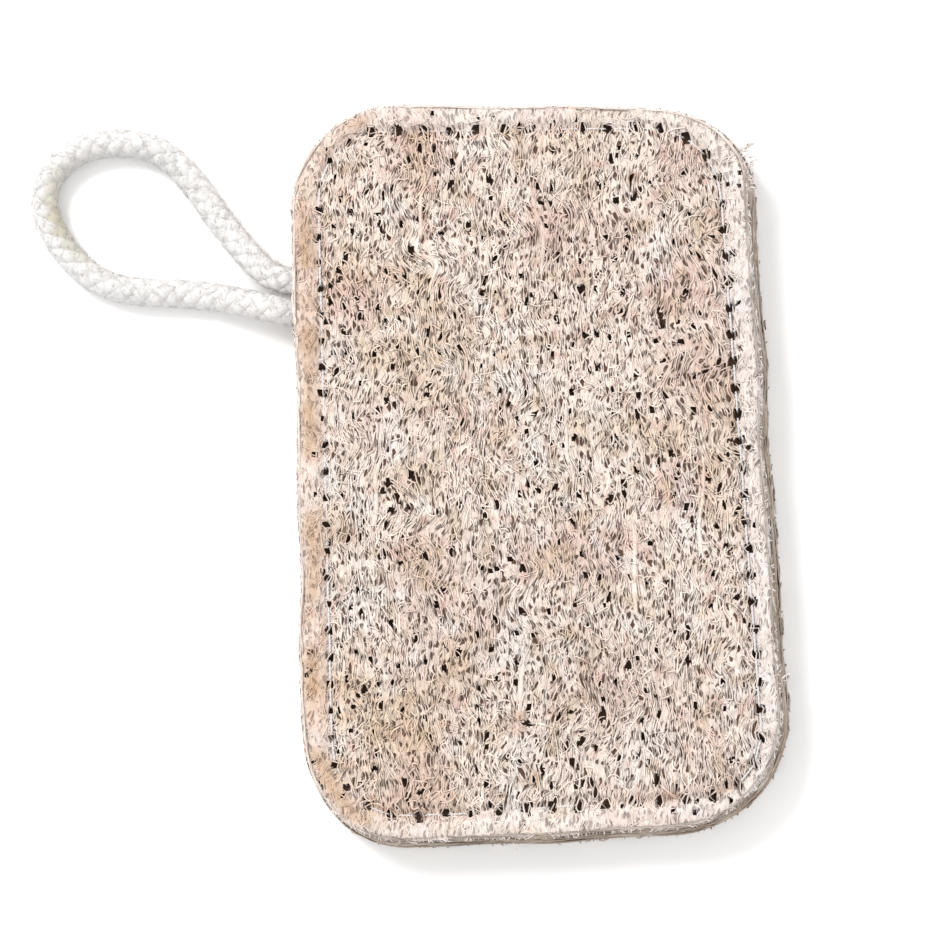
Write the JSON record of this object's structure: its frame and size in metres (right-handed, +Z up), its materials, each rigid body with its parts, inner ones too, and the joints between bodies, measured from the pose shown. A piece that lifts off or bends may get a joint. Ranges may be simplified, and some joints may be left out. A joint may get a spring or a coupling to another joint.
{
  "type": "sewn loofah sponge pad with hanging loop",
  "caption": "Flat rounded-rectangle scrubbing pad of loofah sheets sewn together round the rim, with a braided cotton cord loop sewn in at one side.",
  "frame": {"origin": "on the surface that the pad lies on, under the middle of the pad's own box, the cord loop not counted", "axes": "+Z up through the pad's thickness, +Y along the pad's length, +X across its width, away from the cord loop"},
  "size_m": [0.1143, 0.1112, 0.009],
  "materials": {
    "loofah_front": "dry, matt plant fibre, cream with pink and tan patches",
    "loofah_back": "dry, matt plant fibre, cream to beige",
    "cotton_thread": "white cotton sewing thread",
    "cotton_cord": "soft white braided cotton"
  },
  "bodies": {
    "root": {"front_sheet": "loofah_front", "back_sheet": "loofah_back", "needle_thread": "cotton_thread", "bobbin_thread": "cotton_thread", "hanging_loop": "cotton_cord"}
  },
  "joints": []
}
